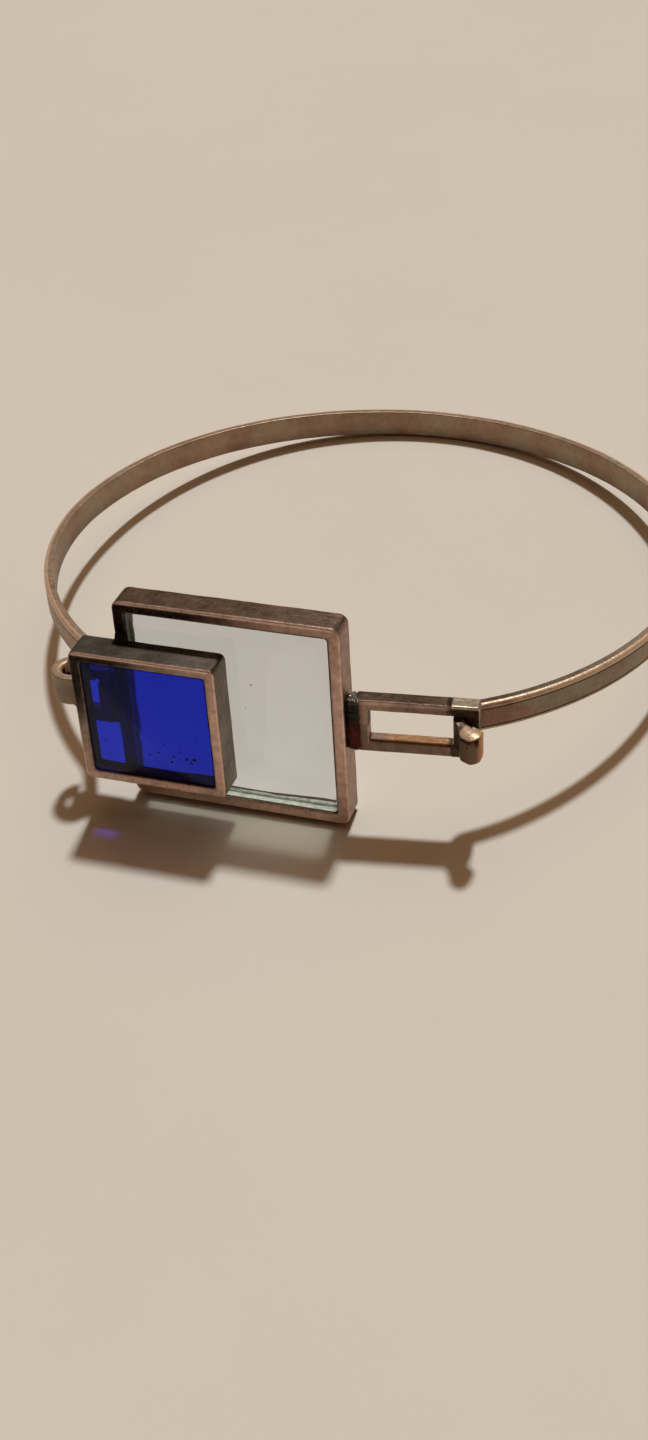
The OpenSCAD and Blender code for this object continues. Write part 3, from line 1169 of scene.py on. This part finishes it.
    def _fillets(self) -> None:
        """Runs the solder fillets where the small frame crosses the large one."""
        s = SIZES
        bm = bmesh.new()
        layers = paint_layers(bm)
        size, count = s.fillet * 1.15, 14
        sunk = 0.12
        outline = [(sunk, -sunk), (-size, -sunk), (-size, 0.0)]
        angles = [math.radians(15 * k) for k in range(1, 6)]
        outline += [(-size * (1 - math.sin(a)), size * (1 - math.cos(a))) for a in angles]
        outline += [(0.0, size), (sunk, size)]
        for side in (1, -1):
            rings = []
            for k in range(count + 1):
                x = -s.large_w / 2 + 0.02 + (s.large_wall - 0.04) * k / count
                level = s.small_z + side * s.small_w / 2
                rings.append([bm.verts.new((x, y, level + side * z)) for y, z in outline])
            loft(bm, rings)
        for vert in bm.verts:
            apply_paint(vert, layers, Paint(worn=0.15))
        roughen(bm, 0.08, 0.3, 5.5)
        fillets = mesh_object("crossing_solder_fillets", bm)
        hand_over(fillets, Finish.SOLDER, Body.CENTREPIECE, "solder", "crossing_solder")


@dataclass
class Band:
    """The springy strip, from the eye round the wrist to the hook."""

    leave_left: float = 230.0
    leave_right: float = -46.0
    eye_start: Point2 = (1.7, -26.0)
    hook_bends: tuple[Point2, ...] = ((5.65, -13.0), (1.3, 61.0), (0.95, 0.0), (1.2, 64.0), (1.5, 0.0))
    hook_length: float = 1.9
    hook_swell: float = 0.95
    hook_shift: float = 0.4
    hook_dome: float = 0.42
    step: float = 1.5
    inner_edge_r: float = 0.1
    outer_edge_r: float = 0.38
    hook_step: float = 0.11
    tip_reach: float = 0.5
    tip_steps: int = 9
    tip_turn: float = 9.8

    def oval_at(self, angle: float) -> Point3:
        """Returns (x, y, heading in degrees) at an angle of the oval."""
        s, a = SIZES, math.radians(angle)
        heading = math.degrees(math.atan2(s.band_b * math.cos(a), -s.band_a * math.sin(a)))
        return s.band_x + s.band_a * math.cos(a), s.band_y + s.band_b * math.sin(a), heading

    @staticmethod
    def bend_at(place: Point3, bend: Point2, share: float) -> Point3:
        """Returns the place after a share of a bend, given as (length, turn to the left)."""
        x, y, heading = place
        length, turn, h = bend[0] * share, bend[1] * share, math.radians(heading)
        if not bend[1]:
            return x + length * math.cos(h), y + length * math.sin(h), heading
        radius, after = bend[0] / math.radians(bend[1]), h + math.radians(turn)
        x += radius * (math.sin(after) - math.sin(h))
        y += radius * (math.cos(h) - math.cos(after))
        return x, y, heading + turn

    def eye(self, join: float) -> list[Point3]:
        """Returns the eye's middle line, from where it meets the strip to its own end."""
        s, turns = SIZES, 60
        mid_r, wrap = s.eye_r - s.band_t / 2, join + 360 - s.eye_end_angle
        line = []
        for k in range(turns + 1):
            angle = join - wrap * k / turns
            radius, a = mid_r - 0.05 * smooth(0.75, 1.0, k / turns), math.radians(angle)
            line.append((s.eye_x + radius * math.cos(a), s.eye_y + radius * math.sin(a), angle - 90))
        return line

    def path(self) -> list[Point3]:
        """Returns the strip's middle line from the eye's end to the hook's tip."""
        span = self.leave_right - self.leave_left
        count = round(-span / self.step)
        oval = [self.oval_at(self.leave_left + span * k / count) for k in range(count + 1)]
        arm = [self.bend_at(self.oval_at(self.leave_left), self.eye_start, k / 8) for k in range(1, 9)]
        left = [*reversed(self.eye(arm[-1][2] + 90)), *reversed(arm)]
        x, y, heading = oval[-1]
        here = (x, y, heading + 180)
        hook = []
        for bend in self.hook_bends:
            count = round(bend[0] / self.hook_step)
            hook += [self.bend_at(here, bend, k / count) for k in range(1, count + 1)]
            here = hook[-1]
        tip = [self.bend_at(here, (self.reach(k), 0), 1) for k in range(1, self.tip_steps + 1)]
        return [*left, *oval, *hook, *tip]

    def reach(self, steps: int) -> float:
        """Returns how far the rounded tip reaches past the hook after some of its steps."""
        return self.tip_reach * math.sin(math.radians(self.tip_turn * steps))

    def section(self) -> bpy.types.Object:
        """Draws the strip's section, its outer edges more rounded than its inner ones. It carries its wear,
        darker narrow faces, a dark line along each edge of the outer face, and an inner face lightened as a
        painted reflection of the floor.
        """
        half_t, half_w = SIZES.band_t / 2, SIZES.band_w / 2
        spots: list[Point2] = []
        edge: list[float] = []
        worn: list[float] = []
        grime: list[float] = []
        corners = ((1, 1), (-1, 1), (-1, -1), (1, -1))
        starts = {(1, 1): 0, (-1, 1): 90, (-1, -1): 180, (1, -1): 270}
        supports = ((0.03, 0.9), (0.1, 0.8), (0.2, 0.0))

        def put(spot: Point2, *paint: float) -> None:
            """Adds a point with its edge, worn and grime values."""
            spots.append(spot)
            for values, value in zip((edge, worn, grime), paint):
                values.append(value)

        for k, (sx, sy) in enumerate(corners):
            r = self.outer_edge_r if sx < 0 else self.inner_edge_r
            for i in range(9):
                a = math.radians(starts[(sx, sy)] + 11.25 * i)
                spot = (sx * (half_t - r) + r * math.cos(a), sy * (half_w - r) + r * math.sin(a))
                put(spot, 0.9 if sx < 0 else 0.2 * (1 - abs(i / 4 - 1)), 0.8 if sx < 0 else 0.05, 0.0)
            nx, ny = corners[(k + 1) % 4]
            rn = self.outer_edge_r if nx < 0 else self.inner_edge_r
            a = math.radians(starts[(sx, sy)] + 90)
            goal = Vector((nx * (half_t - rn) + rn * math.cos(a), ny * (half_w - rn) + rn * math.sin(a)))
            last = Vector(spots[-1])
            span = (goal - last).length
            outer_face, inner_face = sx < 0 and nx < 0, sx > 0 and nx > 0
            rows = [(gap / span, darkening) for gap, darkening in supports] + [(0.5, 0.0)]
            rows += [(1 - gap / span, darkening) for gap, darkening in reversed(supports)]
            # The inner face is lightened as a painted reflection of the floor; the narrow faces are darkened,
            # and the outer face has a dark line along each edge.
            for share, darkening in rows:
                grime_here = darkening if outer_face else 0.1 if inner_face else 0.45
                put(tuple(last.lerp(goal, share)), 0.0, 0.38 if inner_face else 0.06, grime_here)
        edges = [(i, (i + 1) % len(spots)) for i in range(len(spots))]
        points = [(x, y, 0) for x, y in spots]
        return points_object("band_section", points, edges, edge=edge, worn=worn, grime=grime)

    def build(self) -> None:
        """Sweeps the strip and works its two ends; it is put on no body."""
        path = self.path()
        along = [0.0]
        for a, b in zip(path, path[1:]):
            along.append(along[-1] + math.dist(a[:2], b[:2]))
        edges = [(i, i + 1) for i in range(len(path) - 1)]
        source = points_object("band_path", [(x, y, 0) for x, y, _ in path], edges, along=along)
        section = self.section()
        inputs = {"Section": section, "Finish": Finish.BAND.material()}
        band = run_nodes("springy_strip", source, strip_tree(), inputs)
        bpy.data.objects.remove(section)
        self._work(band, path, along)
        band.data.transform(REST.matrix @ Matrix.Translation((0, 0, SIZES.band_z)))
        hand_over(band, Finish.BAND, None, "band_metal", "band_left", "band_right")
        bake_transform(band)

    def _work(self, band: bpy.types.Object, path: list, along: list[float]) -> None:
        """Swells the hook's tip into a nugget and gives the strip its dents and grime. It adds painted shade
        near the hook and on the nugget's shaded side, a painted sunlit warm tint, and a polished top with a
        painted glint.
        """
        mesh = band.data
        total = along[-1] - self.reach(self.tip_steps)
        count = len(mesh.vertices)
        half_w = SIZES.band_w / 2
        paint = {name: [0.0] * count for name in ("along", "edge", "worn", "grime")}
        for name, values in paint.items():
            mesh.attributes[name].data.foreach_get("value", values)
        paint["warm"] = [0.0] * count
        end = next(p for p, t in zip(path, along) if t >= total - 1e-6)
        tip, heading = Vector(end[:2]), math.radians(end[2])
        ahead = Vector((math.cos(heading), math.sin(heading)))
        across = Vector((-math.sin(heading), math.cos(heading)))
        for i, vert in enumerate(mesh.vertices):
            t, co = paint["along"][i], vert.co
            left = total - t
            height = co.z / half_w
            if left < self.hook_length:
                flat = Vector((co.x, co.y)) - tip
                a, c = flat.dot(ahead), flat.dot(across)
                round_off = math.sqrt(max(0.0, 1 - (max(0.0, -left) / self.tip_reach) ** 2))
                swell = smooth(self.hook_length, 0.6, left)
                c = c * (1 + self.hook_swell * swell) * max(round_off, 0.04) - self.hook_shift * swell
                c_share = (c + self.hook_shift * swell) / (SIZES.band_t * 0.95)
                co.x, co.y = tip + ahead * a + across * c
                if height > 0.8:
                    co.z -= self.hook_dome * c_share**2 + 0.12 * max(0.0, -left) / self.tip_reach
                top = smooth(0.93, 0.97, height)
                # Painted shade on the nugget's bend side and on its part further from the tip; a painted
                # sunlit warm tint towards the tip.
                shaded_bend_side = smooth(0.1, -1.0, c)
                paint["warm"][i] = smooth(0.9, -0.1, left) * (1 - 0.6 * shaded_bend_side) * (1 - top)
                paint["grime"][i] = max(0.85 * smooth(0.75, 1.4, left), 0.6 * shaded_bend_side) * (1 - top)
                # The polished top with a painted glint.
                polish_and_glint = top * smooth(1.4, 1.0, left)
                paint["edge"][i] = max(0.35 * paint["edge"][i], polish_and_glint)
                paint["worn"][i] = max(0.12, polish_and_glint)
            else:
                fade = 0.45 * smooth(16, 6, left), 0.5 * smooth(10, 6, t), 0.7 * smooth(-0.4, -0.7, height)
                dull = max(fade)
                paint["worn"][i] *= 1 - dull
                paint["edge"][i] *= 1 - dull
                if height > 0.95:
                    near_clasp = smooth(30, 10, left)
                    paint["grime"][i] *= near_clasp
                    paint["worn"][i] = max(paint["worn"][i], 0.6 * (1 - near_clasp))
                # Painted shade where the strip runs behind the link to the hook.
                if left < 7:
                    paint["grime"][i] = max(paint["grime"][i], 0.75 * smooth(6.0, 4.5, left))
            in_eye = 0.3 * smooth(7.5, 4.0, t) * smooth(0.6, 0.2, abs(height))
            paint["grime"][i] = max(paint["grime"][i], in_eye)
            dents = noise.noise(Vector((t * 0.12, 3.0, 0))) * 0.05
            co.z += dents + noise.noise(Vector((t * 0.9, co.z, 9.0))) * 0.02
        mesh.attributes.new("warm", "FLOAT", "POINT")
        for name, values in paint.items():
            mesh.attributes[name].data.foreach_set("value", values)
        mesh.update()


# ---------------------------------------------------------------- studio


@dataclass
class Studio:
    """A pale floor, a lamp behind and above with a warm glow round it, a dim room and the camera."""

    lens: float = 43.645
    camera_at: tuple[float, float, float] = (49.02, -111.16, 84.83)
    azimuth: float = 20.14
    elevation: float = 35.325
    roll: float = -3.7
    lamp_direction: tuple[float, float, float] = (-0.002, -0.498, -1.0)
    lamps: tuple[tuple[str, float, Point3], ...] = (
        ("KeyLamp", 4.0, (1.87, 1.97, 1.98)), ("LampGlow", 50.0, (0.60, 0.38, 0.22)),
    )
    room: Colour = (0.068, 0.036, 0.018, 1.0)
    floor_size: float = 4.0

    def build(self) -> None:
        """Sets up everything round the bracelet."""
        scene = bpy.context.scene
        scene.view_settings.view_transform = "Standard"
        self._floor()
        for name, angle, colour in self.lamps:
            lamp = bpy.data.lights.new(name, "SUN")
            lamp.energy, lamp.color, lamp.angle = 1.0, colour, math.radians(angle)
            holder = bpy.data.objects.new(name, lamp)
            holder.rotation_euler = Vector(self.lamp_direction).to_track_quat("-Z", "Y").to_euler()
            holder.visible_glossy = name == "KeyLamp"
            scene.collection.objects.link(holder)
        world = bpy.data.worlds.new("WarmRoom")
        world.use_nodes = True
        background = world.node_tree.nodes["Background"]
        background.inputs["Color"].default_value = self.room
        background.inputs["Strength"].default_value = 1.0
        scene.world = world
        scene.camera = self._camera()
        LOG.info("studio: floor, lamps, room and camera")

    def _floor(self) -> None:
        """Lays the pale floor."""
        bm = bmesh.new()
        bmesh.ops.create_grid(bm, x_segments=4, y_segments=4, size=self.floor_size / 2)
        mesh = bpy.data.meshes.new("pale_floor")
        bm.to_mesh(mesh)
        bm.free()
        floor = bpy.data.objects.new("pale_floor", mesh)
        bpy.context.scene.collection.objects.link(floor)
        material, w, place, output = start_material("PaleTable")
        soft = w.group(EFFECTS.patches, Vector=place, Scale=0.02, Low=0.3, High=0.7)
        colour = w.blend(soft, (0.80, 0.74, 0.66, 1), (0.82, 0.76, 0.68, 1))
        feeds = {"Base Color": colour, "Roughness": 0.8, "Specular IOR Level": 0.2}
        w.finish(output, w.add("ShaderNodeBsdfPrincipled", feeds).outputs[0])
        mesh.materials.append(material)

    def _camera(self) -> bpy.types.Object:
        """Stands the camera at its place over the bracelet."""
        az, el, roll = (math.radians(v) for v in (self.azimuth, self.elevation, self.roll))
        back = Vector((math.sin(az) * math.cos(el), -math.cos(az) * math.cos(el), math.sin(el)))
        right = Vector((math.cos(az), math.sin(az), 0))
        up = back.cross(right)
        side = right * math.cos(roll) + up * math.sin(roll)
        top = up * math.cos(roll) - right * math.sin(roll)
        turn = REST.turn.to_3x3() @ Matrix((side, top, back)).transposed()
        data = bpy.data.cameras.new("Camera")
        data.lens, data.sensor_width = self.lens, 36.0
        data.clip_start, data.clip_end = 0.001, 50.0
        camera = bpy.data.objects.new("Camera", data)
        camera.matrix_world = Matrix.Translation(REST.place(self.camera_at)) @ turn.to_4x4()
        bpy.context.scene.collection.objects.link(camera)
        return camera


def main() -> None:
    """Builds the studio and the bracelet's sub-assemblies in order."""
    logging.basicConfig(level=logging.INFO, format="%(name)s: %(message)s")
    s = SIZES
    Studio().build()
    frames = (
        SetFrame(
            "large_frame", s.large_w, s.large_wall, s.large_depth, s.large_corner_r,
            centre=(0, 0), front=0.0, finish=Finish.FRAME,
        ),
        SetFrame(
            "small_frame", s.small_w, s.small_wall, s.small_depth, s.small_corner_r,
            centre=(s.small_x, s.small_z), front=-s.small_depth, finish=Finish.SMALL_FRAME,
        ),
    )
    for set_frame in frames:
        set_frame.build(Body.CENTREPIECE, "frame_metal")
    Panes().build()
    WireLoops().build()
    Band().build()


if __name__ == "__main__":
    main()
